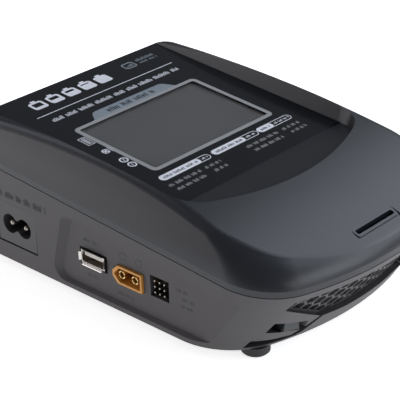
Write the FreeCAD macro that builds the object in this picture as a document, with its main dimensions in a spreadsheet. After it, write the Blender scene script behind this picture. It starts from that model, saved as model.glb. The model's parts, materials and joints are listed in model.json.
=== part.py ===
"""Balance battery charger: a domed two-part case on rubber feet, with a tilted touch display,
supply and battery connectors in its side walls, and a fan-cooled power stage inside.

Millimetres, +Z up, +X to the right, +Y to the rear. The origin is on the ground, under the
middle of the case.
"""
import FreeCAD, Part
import math
import os
import Sketcher
from FreeCAD import Placement, Rotation, Vector

UP = Vector(0, 0, 1)
ALONG_X = Vector(1, 0, 0)
ALONG_Y = Vector(0, 1, 0)

# ---------------------------------------------------------------- driving dimensions

DRIVING = {
    # case, seen from above
    "body_width": 127.0,
    "wall": 2.2,
    "rear_corner_radius": 10.0,
    "split_height": 40.7,          # split plane above the ground at Y = 0
    "split_tilt": 4.8,             # degrees, down towards the front
    "split_rear": 90.2,
    "split_apex": -88.3,
    "split_front_radius": 150.0,
    "split_corner_radius": 25.0,
    "base_height": 4.0,
    "base_rear": 89.5,
    "base_apex": -70.0,
    "base_front_radius": 130.0,
    "base_corner_radius": 30.0,
    "front_cavity_gap": 7.0,       # how far the cavity stays behind the raked front wall
    # cover, measured from the split plane
    "skirt_height": 3.0,
    "brow_height": 7.0,
    "brow_inset": 1.2,
    "brow_front_inset": 2.8,
    "shoulder_height": 12.0,
    "shoulder_inset": 3.4,
    "shoulder_front_inset": 11.0,
    "crown_height": 24.0,
    "crown_inset": 10.5,
    "crown_front_inset": 34.0,
    "crest_height": 21.0,
    "crest_y": 10.0,
    "crest_rear_radius": 560.0,
    "crest_front_radius": 350.0,
    "crest_rounding": 5.5,
    "recess_width": 103.0,
    "recess_wall_slope": 0.34,     # outward millimetres for each millimetre up
    "recess_apex": -67.5,
    "recess_front_radius": 108.0,
    "recess_corner_radius": 13.0,
    "ramp_line": -48.2,
    "ramp_slope": 8.0,             # degrees
    "front_slot_y": -77.3,
    "front_slot_length": 23.0,
    "front_slot_width": 2.2,
    "slot_ledge": 1.0,
    "slot_groove_width": 0.8,
    "slot_groove_depth": 0.6,
    # display stack, measured from its own tilted plane
    "screen_y": 26.0,
    "screen_height": 56.7,
    "screen_tilt": 5.52,
    "label_thickness": 0.3,
    "label_width": 102.0,
    "label_rear": 61.4,
    "label_front": -47.8,
    "view_width": 69.2,
    "view_depth": 43.8,
    "touch_width": 76.0,
    "touch_depth": 51.0,
    "touch_thickness": 1.1,
    "touch_gap": 0.2,
    "lcd_width": 74.0,
    "lcd_depth": 49.0,
    "lcd_glass_thickness": 2.0,
    "backlight_thickness": 3.2,
    "display_board_width": 86.0,
    "display_board_depth": 58.0,
    # connector recesses in the side walls
    "port_recess_depth": 2.4,
    "port_recess_low_z": 7.2,
    "port_recess_high_z": 36.0,
    "port_recess_low_y": 35.2,     # rear end of the recess floor, at its lower and upper edges
    "port_recess_high_y": 26.3,
    "port_recess_shift": 11.0,     # the right-hand recess reaches this much further back
    "port_recess_front": -78.0,
    "port_recess_front_z": 27.3,
    "port_height": 21.0,
    # mains inlet
    "inlet_y": 58.9,
    "inlet_z": 22.1,
    "inlet_width": 23.6,
    "inlet_height": 18.4,
    "inlet_depth": 18.0,
    "inlet_gap": 0.15,             # above the insert and in front of it
    "inlet_lower_gap": 0.95,
    "inlet_rear_gap": 0.6,
    "inlet_pin_pitch": 8.6,
    "inlet_pin_radius": 1.2,
    "inlet_lobe_radius": 4.4,
    "inlet_cavity_depth": 12.0,
    "inlet_pin_setback": 0.5,
    "inlet_pin_length": 20.0,
    # usb socket
    "usb_y": 14.9,
    "usb_width": 13.1,
    "usb_height": 5.7,
    "usb_depth": 14.0,
    "usb_wall": 0.4,
    "usb_tongue_width": 11.2,
    "usb_tongue_thickness": 1.9,
    "usb_tongue_setback": 1.0,
    "usb_hole_width": 15.6,
    "usb_hole_height": 7.6,
    # dc plug
    "dc_y": -4.9,
    "dc_z": 20.0,
    "dc_protrusion": 1.1,
    "dc_width": 16.0,
    "dc_height": 8.1,
    "dc_depth": 9.6,
    "dc_chamfer": 2.8,
    "dc_gap": 0.25,
    "dc_wall": 0.9,
    "dc_pin_pitch": 7.2,
    "dc_pin_radius": 1.75,
    # pin header
    "header_y": -21.7,
    "header_z": 21.2,
    "header_pitch": 2.54,
    "header_hole_width": 10.0,
    "header_hole_height": 9.2,
    # battery outputs, right wall
    "output_y": -10.0,
    "output_pitch": 19.0,
    "output_z": 23.0,
    "output_flange_radius": 6.0,
    "output_body_radius": 4.0,
    "output_bore_radius": 2.05,
    "balance_pitch": 2.5,
    "balance_height": 5.75,
    "balance_depth": 11.5,
    "balance_rear": 38.5,
    "balance_low_z": 15.2,
    "balance_high_z": 24.0,
    # front grille
    "grille_pitch": 6.0,
    "grille_hole": 5.1,
    "grille_top_depth": 1.2,
    "grille_foot_depth": 7.5,
    # boards
    "board_thickness": 1.6,
    "main_board_z": 16.5,
    "main_board_left": -52.0,
    "main_board_right": 48.0,
    "main_board_rear": 37.0,
    "main_board_front": -37.0,
    "power_board_z": 12.5,
    "power_board_left": -44.0,
    "power_board_right": 56.0,
    "power_board_front": 40.0,
    "power_board_rear": 73.2,
    "screw_radius": 1.25,
    "screw_head_radius": 2.4,
    "screw_head_height": 1.8,
    # fan
    "fan_size": 35.0,
    "fan_depth": 10.0,
    "fan_y": -55.0,
    "fan_z": 27.0,
    "fan_bore_radius": 16.6,
    "fan_hub_radius": 7.5,
    "fan_blade_radius": 16.0,
    "fan_shaft_radius": 1.0,
    "fan_shaft_gap": 0.05,
    "fan_blades": 7,
    # heat sink
    "sink_width": 46.0,
    "sink_length": 30.0,
    "sink_base": 3.0,
    "sink_height": 18.0,
    "sink_fin": 1.2,
    "sink_fins": 9,
    # feet and case screws
    "foot_radius": 5.75,
    "foot_front_x": 45.5,
    "foot_front_y": -56.5,
    "foot_rear_x": 50.0,
    "foot_rear_y": 70.0,
    "case_screw_x": 53.0,
    "case_screw_front_y": -41.5,
    "case_screw_rear_y": 78.6,
    "boss_radius": 3.3,
}

doc = FreeCAD.newDocument("balance_charger")
dims = doc.addObject("Spreadsheet::Sheet", "dims")
for row, (alias, number) in enumerate(DRIVING.items(), start=1):
    dims.set("A%d" % row, alias)
    dims.set("B%d" % row, str(number))
    dims.setAlias("B%d" % row, alias)
doc.recompute()


def size(alias):
    """The sheet's value for one driving dimension."""
    return float(dims.get(alias))


# ---------------------------------------------------------------- frames

SPLIT_FRAME = Placement(Vector(0, 0, size("split_height")), Rotation(ALONG_X, size("split_tilt")))
SCREEN_FRAME = Placement(
    Vector(0, size("screen_y"), size("screen_height")), Rotation(ALONG_X, size("screen_tilt"))
)


def bind(item, links):
    """Bind each named property of an object to an expression on the sheet."""
    for prop, expression in links.items():
        item.setExpression(prop, expression)


def measure(expression):
    """The present value of an expression on the sheet."""
    return float(doc.getObject("dims").evalExpression(expression))


# ---------------------------------------------------------------- building blocks


def block(name, length, width, height, foot, frame=None):
    """A box whose underside is centred on foot, in the given frame. Sizes are expressions."""
    item = doc.addObject("Part::Box", name)
    bind(item, {"Length": length, "Width": width, "Height": height})
    corner = Vector(-measure(length) / 2, -measure(width) / 2, 0)
    item.Placement = (frame or Placement()).multiply(Placement(Vector(*foot) + corner, Rotation()))
    return item


def rod(name, radius, height, foot, axis=UP, frame=None):
    """A cylinder that stands on foot and points along axis. Sizes are expressions."""
    item = doc.addObject("Part::Cylinder", name)
    bind(item, {"Radius": radius, "Height": height})
    item.Placement = (frame or Placement()).multiply(
        Placement(Vector(*foot), Rotation(UP, axis))
    )
    return item


def joined(name, pieces):
    """One solid from several that touch."""
    item = doc.addObject("Part::MultiFuse", name)
    item.Shapes = pieces
    item.Refine = True
    return item


def group(name, pieces):
    """Several separate solids in one node."""
    item = doc.addObject("Part::Compound", name)
    item.Links = pieces
    return item


def carved(name, base, tools):
    """base with every tool taken out of it."""
    item = doc.addObject("Part::Cut", name)
    item.Base = base
    item.Tool = tools[0] if len(tools) == 1 else group(name + "_tools", tools)
    return item


def shared(name, first, second):
    """The space that two solids share."""
    item = doc.addObject("Part::Common", name)
    item.Base = first
    item.Tool = second
    return item


def outline(name, edges, frame=None):
    """A free-standing closed sketch drawn in the XY plane of a frame."""
    sketch = doc.addObject("Sketcher::SketchObject", name)
    sketch.Placement = frame or Placement()
    sketch.addGeometry(edges, False)
    return sketch


def polygon(corners):
    """Straight edges through flat corner points, closed."""
    points = [Vector(x, y, 0) for x, y in corners]
    return [Part.LineSegment(a, b) for a, b in zip(points, points[1:] + points[:1])]


def prism(name, edges, frame, forward, back=0.0):
    """A closed outline pushed both ways along the normal of its frame."""
    item = doc.addObject("Part::Extrusion", name)
    item.Base = outline(name + "_outline", edges, frame)
    item.DirMode = "Normal"
    item.LengthFwd = forward
    item.LengthRev = back
    item.Solid = True
    return item


FRONT_VIEW = Placement(Vector(), Rotation(ALONG_X, UP, Vector(0, -1, 0), "XYZ"))


def origin_plane(body, role):
    """One of the body's three base planes."""
    return next(plane for plane in body.Origin.OriginFeatures if plane.Role == role)


def body_sketch(body, name, role="XY_Plane", height="0", tilt=0.0):
    """A sketch on one of the body's own origin planes, raised by an expression."""
    sketch = body.newObject("Sketcher::SketchObject", name)
    sketch.AttachmentSupport = [(origin_plane(body, role), "")]
    sketch.MapMode = "FlatFace"
    sketch.AttachmentOffset = Placement(Vector(), Rotation(ALONG_X, tilt))
    sketch.setExpression("AttachmentOffset.Base.z", height)
    return sketch


def plan_sketch(body, name, height, width, rear, apex, front, corner, rear_corner, tilt=0.0):
    """The case seen from above: straight sides and rear, a wide front arc, four corner arcs."""
    half, back, nose = measure(width) / 2, measure(rear), measure(apex)
    wide, near, far = measure(front), measure(corner), measure(rear_corner)
    centre_y = nose + wide
    corner_x = half - near
    corner_y = centre_y - math.sqrt((wide - near) ** 2 - corner_x ** 2)
    turn = math.atan2(corner_y - centre_y, corner_x)

    def arc(x, y, radius, start, end):
        return Part.ArcOfCircle(Part.Circle(Vector(x, y, 0), UP, radius), start, end)

    def line(x1, y1, x2, y2):
        return Part.LineSegment(Vector(x1, y1, 0), Vector(x2, y2, 0))

    right, up = 0.0, math.pi / 2
    left, full = math.pi, 2 * math.pi
    sketch = body_sketch(body, name, height=height, tilt=tilt)
    rear_line, _, left_side, left_corner, front_arc, right_corner, right_side, last = range(8)
    sketch.addGeometry([
        line(half - far, back, far - half, back),
        arc(far - half, back - far, far, up, left),
        line(-half, back - far, -half, corner_y),
        arc(-corner_x, corner_y, near, left, left - turn),
        arc(0, centre_y, wide, left - turn, full + turn),
        arc(corner_x, corner_y, near, full + turn, full),
        line(half, corner_y, half, back - far),
        arc(half - far, back - far, far, right, up),
    ], False)
    rule = Sketcher.Constraint
    for index in range(8):
        sketch.addConstraint(rule("Tangent", index, 2, (index + 1) % 8, 1))
    for index in (left_side, right_side):
        sketch.addConstraint(rule("Vertical", index))
    sketch.addConstraint(rule("Symmetric", rear_line, 1, rear_line, 2, -2))
    sketch.addConstraint(rule("PointOnObject", front_arc, 3, -2))
    sketch.addConstraint(rule("Equal", left_corner, right_corner))
    sketch.addConstraint(rule("Equal", 1, last))
    driven = [
        (rule("DistanceX", left_side, 1, right_side, 1, 2 * half), width),
        (rule("DistanceY", -1, 1, rear_line, 1, back), rear),
        (rule("DistanceY", -1, 1, front_arc, 3, centre_y), "(%s) + (%s)" % (apex, front)),
        (rule("Radius", front_arc, wide), front),
        (rule("Radius", left_corner, near), corner),
        (rule("Radius", 1, far), rear_corner),
    ]
    for constraint, expression in driven:
        index = sketch.addConstraint(constraint)
        sketch.setExpression("Constraints[%d]" % index, expression)
    return sketch


def loft_body(name, sections, frame=None, ruled=False):
    """A body lofted through plan sketches; each section is the arguments of plan_sketch."""
    body = doc.addObject("PartDesign::Body", name)
    sketches = []
    for index, section in enumerate(sections):
        sketches.append(plan_sketch(body, "%s_section_%d" % (name, index), **section))
    doc.recompute()
    loft = body.newObject("PartDesign::AdditiveLoft", name + "_loft")
    loft.Profile = sketches[0]
    loft.Sections = sketches[1:]
    loft.Ruled = ruled
    body.Placement = frame or Placement()
    doc.recompute()
    return body


def revolved_body(name, corners, foot, axis=UP):
    """A turned piece: corners are (radius, height) expressions, in order round the section."""
    body = doc.addObject("PartDesign::Body", name)
    sketch = body_sketch(body, name + "_section", "XZ_Plane")
    points = [(measure(radius), measure(height)) for radius, height in corners]
    sketch.addGeometry(polygon(points), False)
    count = len(points)
    for index in range(count):
        sketch.addConstraint(Sketcher.Constraint("Coincident", index, 2, (index + 1) % count, 1))
    for index, corner in enumerate(corners):
        for kind, axis_line, value, expression in (
            ("DistanceX", -2, points[index][0], corner[0]),
            ("DistanceY", -1, points[index][1], corner[1]),
        ):
            if abs(value) < 1e-9:
                sketch.addConstraint(Sketcher.Constraint("PointOnObject", index, 1, axis_line))
                continue
            number = sketch.addConstraint(Sketcher.Constraint(kind, -1, 1, index, 1, value))
            sketch.setExpression("Constraints[%d]" % number, expression)
    doc.recompute()
    turned = body.newObject("PartDesign::Revolution", name + "_turned")
    turned.Profile = sketch
    turned.ReferenceAxis = (sketch, ["V_Axis"])
    turned.Angle = 360
    body.Placement = Placement(Vector(*foot), Rotation(UP, axis))
    doc.recompute()
    return body


# ---------------------------------------------------------------- case shells

HALF_WIDTH = size("body_width") / 2
RECESS_FLOOR_X = HALF_WIDTH - size("port_recess_depth")
LEFT_VIEW = Placement(Vector(), Rotation(Vector(0, -1, 0), UP, Vector(-1, 0, 0), "XYZ"))
RIGHT_VIEW = Placement(Vector(), Rotation(ALONG_Y, UP, ALONG_X, "XYZ"))
SIDES = (-1, 1)


def split_section(height, inset, front_inset=None, tilt=0.0, rear_inset=None):
    """The case outline at the split plane, moved inwards."""
    front = inset if front_inset is None else front_inset
    rear = inset if rear_inset is None else rear_inset
    return {
        "height": height,
        "width": "dims.body_width - 2 * (%s)" % inset,
        "rear": "dims.split_rear - (%s)" % rear,
        "apex": "dims.split_apex + (%s)" % front,
        "front": "dims.split_front_radius - (%s)" % front,
        "corner": "dims.split_corner_radius - 0.5 * (%s)" % inset,
        "rear_corner": "dims.rear_corner_radius",
        "tilt": tilt,
    }


def base_section(height, inset, front_inset):
    """The smaller case outline at the bottom, moved inwards."""
    return {
        "height": height,
        "width": "dims.body_width - 1 - 2 * (%s)" % inset,
        "rear": "dims.base_rear - (%s)" % inset,
        "apex": "dims.base_apex + (%s)" % front_inset,
        "front": "dims.base_front_radius - (%s)" % front_inset,
        "corner": "dims.base_corner_radius - 0.5 * (%s)" % inset,
        "rear_corner": "dims.rear_corner_radius",
    }


def window_corners(side):
    """The snap window under each front corner, a leaning four-sided hole, seen from the front."""
    return [(side * x, z) for x, z in ((50.2, 13.6), (49.4, 18.8), (32.4, 13.0), (31.0, 7.6))]


def rear_vents():
    """Upright slots through the rear wall."""
    slot, pitch, low, high = 2.6, 6.0, 18.0, 34.0
    edges = []
    for index in range(-6, 7):
        left = index * pitch - slot / 2
        edges += polygon([(left, low), (left + slot, low), (left + slot, high), (left, high)])
    frame = Placement(Vector(0, size("split_rear") + 3, 0), FRONT_VIEW.Rotation)
    return prism("rear_vents", edges, frame, 9.0)


GRILLE_EDGE = [(49.4, 26.4), (47.6, 30.2), (0.0, 29.4), (-47.6, 30.2), (-49.4, 26.4), (-25.6, 12.4),
               (-12.0, 10.9), (12.0, 10.9), (25.6, 12.4)]
HOLES_EDGE = [(46.0, 26.0), (44.6, 28.6), (0.0, 28.2), (-44.6, 28.6), (-46.0, 26.0), (-24.0, 13.4),
              (-12.0, 13.0), (12.0, 13.0), (24.0, 13.4)]


def grille_holes():
    """A honeycomb of six-sided holes, square to the raked front wall and trimmed to an outline."""
    low, high = size("base_height"), size("split_height")
    rake = math.atan2(size("base_apex") - size("split_apex"), 29.3)
    middle_z = 21.0
    middle_y = size("base_apex") - (middle_z - low) * math.tan(rake)
    up_wall = Vector(0, -math.sin(rake), math.cos(rake))
    frame = Placement(
        Vector(0, middle_y, middle_z), Rotation(ALONG_X, up_wall, ALONG_X.cross(up_wall), "XYZ")
    )
    pitch = size("grille_pitch")
    corner = size("grille_hole") / math.sqrt(3)
    edges = []
    turns = [math.radians(60 * step) for step in range(6)]
    for column in range(-9, 10):
        x = column * pitch * math.sqrt(3) / 2
        for row_index in range(-3, 3):
            slope = (row_index + 0.5 * (column % 2)) * pitch - 0.5
            edges += polygon(
                [(x + corner * math.cos(turn), slope + corner * math.sin(turn)) for turn in turns]
            )
    holes = prism("grille_lattice", edges, frame, 12.0, 16.0)
    area = prism("grille_area", polygon(HOLES_EDGE), Placement(Vector(0, -45, 0), FRONT_VIEW.Rotation), 60.0)
    return shared("grille_holes", holes, area)


def front_recesses():
    """The grille recess and, under each snap window, a dark groove that runs to its corner."""
    core = loft_body("recess_core", [
        base_section("dims.base_height - 3", "0", "dims.grille_foot_depth - 2"),
        split_section("dims.split_height + 3", "0", "dims.grille_top_depth - 1.8",
                      size("split_tilt"), "0"),
    ], ruled=True)
    frame = Placement(Vector(0, -45, 0), FRONT_VIEW.Rotation)
    openings = [prism("grille_recess", polygon(GRILLE_EDGE), frame, 60.0)]
    groove = ((53.6, 5.2), (52.9, 9.3), (36.5, 6.6), (31.6, 9.2), (26.4, 13.4), (25.0, 12.2),
              (30.8, 6.4), (34.0, 5.2))
    for side in SIDES:
        corners = [(side * x, z) for x, z in groove]
        openings.append(prism("corner_groove", polygon(corners), frame, 60.0))
    return [carved("front_recess_%d" % index, opening, [core])
            for index, opening in enumerate(openings)]


def rounded_polygon(corners):
    """A closed outline with its corners rounded. Each corner is (x, y, radius)."""
    edges, ends = [], []
    count = len(corners)
    for index, (x, y, radius) in enumerate(corners):
        here = Vector(x, y, 0)
        before = Vector(*corners[index - 1][:2], 0) - here
        after = Vector(*corners[(index + 1) % count][:2], 0) - here
        before.normalize()
        after.normalize()
        half = before.getAngle(after) / 2
        reach = radius / math.tan(half)
        middle = before + after
        middle.normalize()
        deep = here + middle * (radius / math.sin(half) - radius)
        ends.append((here + before * reach, deep, here + after * reach, radius))
    for index, (start, deep, end, radius) in enumerate(ends):
        if radius:
            edges.append(Part.Arc(start, deep, end))
        edges.append(Part.LineSegment(end, ends[(index + 1) % count][0]))
    return edges


def port_recess(side):
    """The sunken panel that carries the connectors of one side: its rear end leans, and its
    sloping edge is wide at the rear and narrow below."""
    view = LEFT_VIEW if side < 0 else RIGHT_VIEW
    low, high = size("port_recess_low_z"), size("port_recess_high_z")
    front = size("port_recess_front")
    shift = 0.0 if side < 0 else size("port_recess_shift")
    floor = [(size("port_recess_low_y") + shift, low, 5),
             (size("port_recess_high_y") + shift, high, 3),
             (front, size("port_recess_front_z"), 0), (front, low, 0)]
    growth = [(4.7, -1.3, 1), (3.7, 1.8, 1), (-1.5, 1.7, 0), (-1.5, -1.3, 0)]
    over = 1.25
    sections = []
    for name, reach, out in (("recess_floor", 0.0, RECESS_FLOOR_X),
                             ("recess_rim", over, RECESS_FLOOR_X + over * size("port_recess_depth"))):
        corners = [(side * (y + reach * dy), z + reach * dz, radius + reach * more)
                   for (y, z, radius), (dy, dz, more) in zip(floor, growth)]
        frame = Placement(Vector(side * out, 0, 0), view.Rotation)
        sections.append(outline(name, rounded_polygon(corners), frame))
    tool = doc.addObject("Part::Loft", "port_recess")
    tool.Sections = sections
    tool.Solid = True
    tool.Ruled = True
    return tool


def wall_hole(name, side, y, z, width, height):
    """A square hole through one side wall."""
    return block(name, "14", width, height, (side * HALF_WIDTH, y, z - measure(height) / 2))


BOARD_POSTS = [(-47, 32), (-47, -32), (43, 32), (43, -32)]
POWER_POSTS = [(-38, 44), (-38, 70), (50, 45), (46, 70)]


def case_screw_spots():
    """Where the four screws that join the two shells stand."""
    x = size("case_screw_x")
    ys = (size("case_screw_front_y"), size("case_screw_rear_y"))
    return [(side * x, y) for side in SIDES for y in ys]


def foot_spots():
    """Where the four rubber feet stand: the front pair is closer together."""
    spots = []
    for side in SIDES:
        spots.append((side * size("foot_front_x"), size("foot_front_y")))
        spots.append((side * size("foot_rear_x"), size("foot_rear_y")))
    return spots


def balance_layout():
    """Each battery balance socket: how many pins, its rear end along Y and its lower face."""
    gap = 1.2
    layout = []
    for z_alias, counts in (("balance_low_z", (7, 6)), ("balance_high_z", (5, 4, 3))):
        rear = size("balance_rear")
        for pins in counts:
            width = (pins - 1) * size("balance_pitch") + 4.9
            layout.append((pins, rear - width / 2, size(z_alias), width))
            rear -= width + gap
    return layout


def make_bottom_case():
    """The lower shell: raked front with a honeycomb grille, connector walls, posts and bosses."""
    tilt = size("split_tilt")
    outer = loft_body("case_outer", [
        base_section("dims.base_height", "0", "0"),
        split_section("dims.split_height", "0", tilt=tilt),
    ], ruled=True)
    side_gap = "dims.port_recess_depth + dims.wall"
    front_gap = "dims.wall + dims.grille_top_depth + 0.2"
    cavity = loft_body("case_cavity", [
        base_section("dims.base_height + dims.wall", side_gap, "dims.front_cavity_gap"),
        split_section("dims.split_height + 4", side_gap, front_gap, tilt, "dims.wall"),
    ], ruled=True)
    tongue = loft_body("case_tongue", [
        split_section("-2", "1.3"),
        split_section("1.5", "1.3"),
    ], SPLIT_FRAME, ruled=True)
    shell = joined("case_solid", [outer, tongue])
    tools = [cavity] + front_recesses() + [port_recess(side) for side in SIDES]
    tools += [grille_holes(), rear_vents()]
    for side in SIDES:
        frame = Placement(Vector(0, -50, 0), FRONT_VIEW.Rotation)
        tools.append(prism("snap_window", polygon(window_corners(side)), frame, 60.0))
    inlet_middle_y = size("inlet_y") + (size("inlet_rear_gap") - size("inlet_gap")) / 2
    inlet_middle_z = size("inlet_z") - (size("inlet_lower_gap") - size("inlet_gap")) / 2
    tools.append(wall_hole("inlet_hole", -1, inlet_middle_y, inlet_middle_z,
                           "dims.inlet_width + dims.inlet_gap + dims.inlet_rear_gap",
                           "dims.inlet_height + dims.inlet_gap + dims.inlet_lower_gap"))
    tools.append(wall_hole("usb_hole", -1, size("usb_y"), size("port_height"),
                           "dims.usb_hole_width", "dims.usb_hole_height"))
    tools.append(prism("dc_hole", plug_outline(-size("dc_gap")),
                       Placement(Vector(7 - HALF_WIDTH, 0, 0), LEFT_VIEW.Rotation), 14.0))
    tools.append(wall_hole("header_hole", -1, size("header_y"), size("header_z"),
                           "dims.header_hole_width", "dims.header_hole_height"))
    for pins, y, low, width in balance_layout():
        tools.append(wall_hole("balance_hole", 1, y, low + size("balance_height") / 2,
                               "%s + 0.3" % width, "dims.balance_height + 0.3"))
    for index in range(2):
        y = size("output_y") - index * size("output_pitch")
        tools.append(rod("output_hole", "dims.output_body_radius + 0.1", "14",
                         (HALF_WIDTH - 8, y, size("output_z")), ALONG_X))
    hollow = carved("case_hollow", shell, tools)

    floor = size("base_height") + 0.5
    posts = []
    for x, y in BOARD_POSTS:
        posts.append(rod("board_post", "dims.boss_radius", "dims.main_board_z - %s" % floor, (x, y, floor)))
    for x, y in POWER_POSTS:
        posts.append(rod("power_post", "dims.boss_radius", "dims.power_board_z - %s" % floor, (x, y, floor)))
    for x, y in case_screw_spots():
        posts.append(rod("screw_boss", "4.8", "14 - %s" % floor, (x, y, floor)))
    for side in SIDES:
        edge = size("fan_size") / 2
        posts.append(block("fan_rail", "3", "dims.fan_depth + 2", "4.8", (side * 11, size("fan_y"), floor)))
        posts.append(block("fan_guide", "2", "dims.fan_depth + 2", "16",
                           (side * (edge + 1.3), size("fan_y"), floor)))
    whole = joined("case_with_posts", [hollow] + posts)

    bores = []
    for x, y in BOARD_POSTS + POWER_POSTS:
        bores.append(rod("post_bore", "dims.screw_radius", "20", (x, y, size("base_height") + 3)))
    for x, y in case_screw_spots():
        bores.append(rod("screw_bore", "1.6", "20", (x, y, 0)))
        bores.append(rod("screw_head_bore", "3.2", "dims.base_height + 3.5", (x, y, 0)))
    for x, y in foot_spots():
        bores.append(rod("foot_hole", "2.5", "dims.base_height + 2", (x, y, 0)))
    return carved("bottom_case", whole, bores)


def crest_arc(drop):
    """The cover's profile seen from the side, lowered by a wall: front arc then rear arc."""
    top, middle = size("crest_height") - drop, size("crest_y")
    front, rear = size("crest_front_radius") - drop, size("crest_rear_radius") - drop

    def height(y):
        radius = rear if y > middle else front
        return top - radius + math.sqrt(radius ** 2 - (y - middle) ** 2)

    return height


def crown_prism(name, drop, flat_from=None):
    """Everything under the cover's crest profile, as a slab across the whole width."""
    height = crest_arc(drop)
    start, middle, end, low, half = -110.0, size("crest_y"), 110.0, -8.0, 80.0

    def arc(y1, y2):
        points = [Vector(y, height(y), 0) for y in (y1, (y1 + y2) / 2, y2)]
        return Part.Arc(*points)

    def line(y1, z1, y2, z2):
        return Part.LineSegment(Vector(y1, z1, 0), Vector(y2, z2, 0))

    if flat_from is None:
        edges = [arc(start, middle), arc(middle, end), line(end, height(end), end, low)]
    else:
        ceiling = recess_floor_height(flat_from) - size("wall")
        rear_ceiling = recess_floor_height(end) - size("wall")
        edges = [arc(start, flat_from), line(flat_from, height(flat_from), flat_from, ceiling),
                 line(flat_from, ceiling, end, rear_ceiling), line(end, rear_ceiling, end, low)]
    edges += [line(end, low, start, low), line(start, low, start, height(start))]
    frame = SPLIT_FRAME.multiply(Placement(Vector(-half, 0, 0), RIGHT_VIEW.Rotation))
    return prism(name, edges, frame, 2 * half)


def recess_floor_height(y):
    """Height of the display recess floor above the split plane, at y along that plane."""
    lean = math.tan(math.radians(size("screen_tilt") - size("split_tilt")))
    start = SPLIT_FRAME.inverse().multVec(SCREEN_FRAME.Base)
    return start.z + lean * (y - start.y)


def rounded_crown(name, solid):
    """The crown with its whole top edge rounded by one direct fillet call."""
    to_split = SPLIT_FRAME.inverse()
    height = crest_arc(0.0)
    picks = []
    for edge in solid.Edges:
        span = edge.LastParameter - edge.FirstParameter
        spots = [to_split.multVec(edge.valueAt(edge.FirstParameter + span * step / 6))
                 for step in range(7)]
        on_crest = all(abs(spot.z - height(spot.y)) < 0.05 for spot in spots)
        across = edge.BoundBox.YLength < 0.5 and abs(spots[3].y - size("crest_y")) < 1
        if on_crest and not across:
            picks.append(edge)
    item = doc.addObject("Part::Feature", name)
    item.Shape = solid.makeFillet(size("crest_rounding"), picks)
    return item


def display_recess():
    """The sunken, tilted display area: sloping side walls, a ramp at the front, open to the rear."""
    spread = 10.0
    sections = []
    for height in (0.0, spread):
        grow = height * size("recess_wall_slope")
        sections.append({
            "height": str(height),
            "width": "dims.recess_width + %s" % (2 * grow),
            "rear": "90",
            "apex": "dims.recess_apex - %s" % grow,
            "front": "dims.recess_front_radius + %s" % grow,
            "corner": "dims.recess_corner_radius + %s" % grow,
            "rear_corner": "1",
        })
    space = loft_body("recess_space", sections, SCREEN_FRAME, ruled=True)
    line, end, top = size("ramp_line"), -90.0, 30.0
    rise = (line - end) * math.tan(math.radians(size("ramp_slope")))
    side = polygon([(95, 0), (95, top), (end, top), (end, rise), (line, 0)])
    frame = SCREEN_FRAME.multiply(Placement(Vector(-80, 0, 0), RIGHT_VIEW.Rotation))
    return shared("display_recess", space, prism("recess_side", side, frame, 160.0))


def rounded_rectangle(length, width, radius):
    """A rectangle with rounded corners, centred on the origin of its frame."""
    corners = [(-length / 2, -width / 2), (length / 2, -width / 2), (length / 2, width / 2),
               (-length / 2, width / 2)]
    return rounded_polygon([(x, y, radius) for x, y in corners])


def front_slot():
    """The narrow slot in the front of the dome, and the fine groove round it that is deepest in
    front and runs out towards the rear."""
    y = size("front_slot_y")
    length, width = size("front_slot_length"), size("front_slot_width")
    surface = crest_arc(0.0)(y)
    slot_frame = SPLIT_FRAME.multiply(Placement(Vector(0, y, surface - 12), Rotation()))
    slot = prism("front_slot", rounded_rectangle(length, width, 0.35 * width), slot_frame, 20.0)

    margin = size("slot_ledge") + size("slot_groove_width")
    reach = width / 2 + margin
    fall = math.degrees(math.atan2(size("crest_y") - y, size("crest_front_radius")))
    lean = math.degrees(math.atan2(size("slot_groove_depth"), 2 * reach))
    foot = Vector(0, y - reach, crest_arc(0.0)(y - reach) - size("slot_groove_depth"))
    frame = SPLIT_FRAME.multiply(Placement(foot, Rotation(ALONG_X, fall + lean)))
    frame = frame.multiply(Placement(Vector(0, reach, 0), Rotation()))
    outer, inner = 2 * margin, 2 * size("slot_ledge")
    rim = prism("slot_groove_outside", rounded_rectangle(length + outer, width + outer, reach / 2),
                frame, 4.0)
    island = prism("slot_groove_inside", rounded_rectangle(length + inner, width + inner, reach / 3),
                   frame, 4.0)
    return [slot, carved("slot_groove", rim, [island])]


def snap_hook(side):
    """A hook that hangs from the cover and fills most of the snap window."""
    frame = Placement(Vector(0, -55.5, 0), FRONT_VIEW.Rotation)
    corners = [(side * x, z) for x, z in ((43.6, 12.2), (43.0, 16.1), (35.0, 13.4), (34.4, 9.4))]
    tab = prism("snap_tab", polygon(corners), frame, 13.4)
    stem = block("snap_stem", "6", "2", "36.5", (side * 39, -56.5, 12.5))
    return [tab, stem]


DISPLAY_POSTS = [(x, y) for x in (-40.6, 40.6) for y in (-26.6, 26.6)]


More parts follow.
